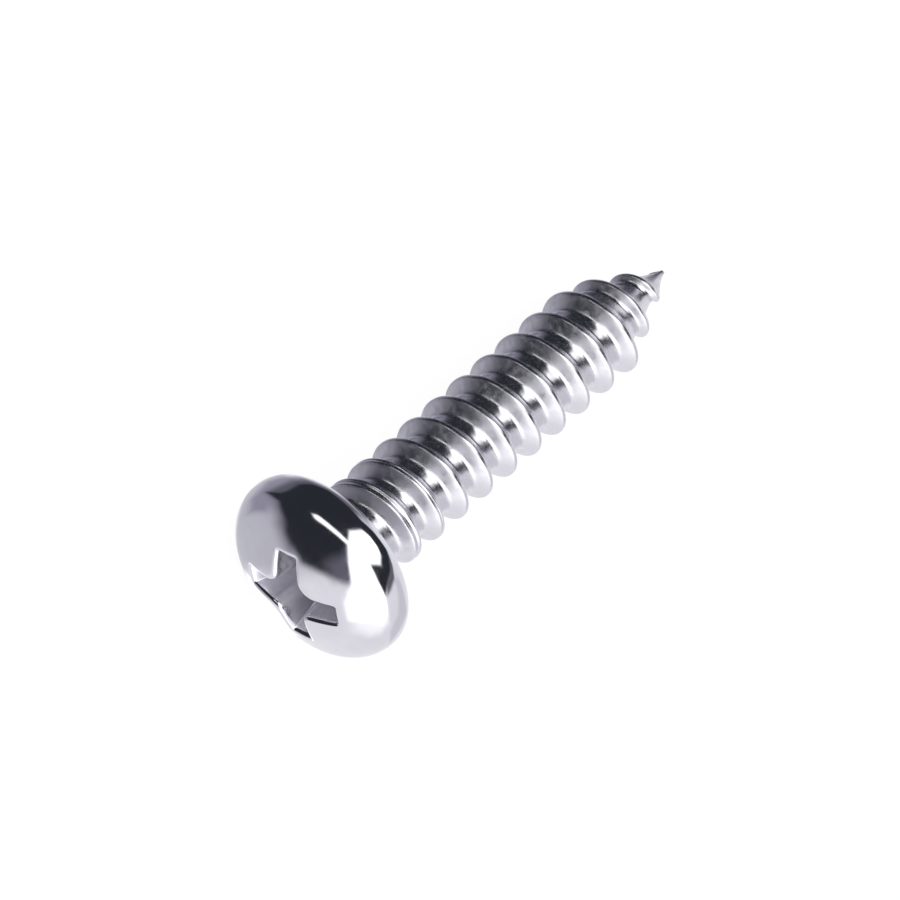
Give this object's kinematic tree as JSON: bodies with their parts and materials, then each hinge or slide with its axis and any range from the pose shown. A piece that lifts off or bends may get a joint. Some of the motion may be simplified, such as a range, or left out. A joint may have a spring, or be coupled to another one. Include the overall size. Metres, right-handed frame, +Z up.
{
  "type": "sheet metal screw",
  "caption": "Pan head tapping screw for sheet metal, lying at rest: domed head with a cross recess, coarse right-hand thread running out under the head, sharp threaded point.",
  "frame": {"origin": "bottom centre of the lying screw's bounding box, on the surface it rests on", "axes": "+X runs along the lying screw from the head towards the tip, +Z is up, and the screw's own axis dips about 7 degrees below +X because the head is wider than the thread"},
  "size_m": [0.0216, 0.0078, 0.0078],
  "materials": {
    "plated_steel": "bright plated steel, mirror-like, with a cool lavender cast"
  },
  "bodies": {
    "root": {"screw": "plated_steel"}
  },
  "joints": []
}
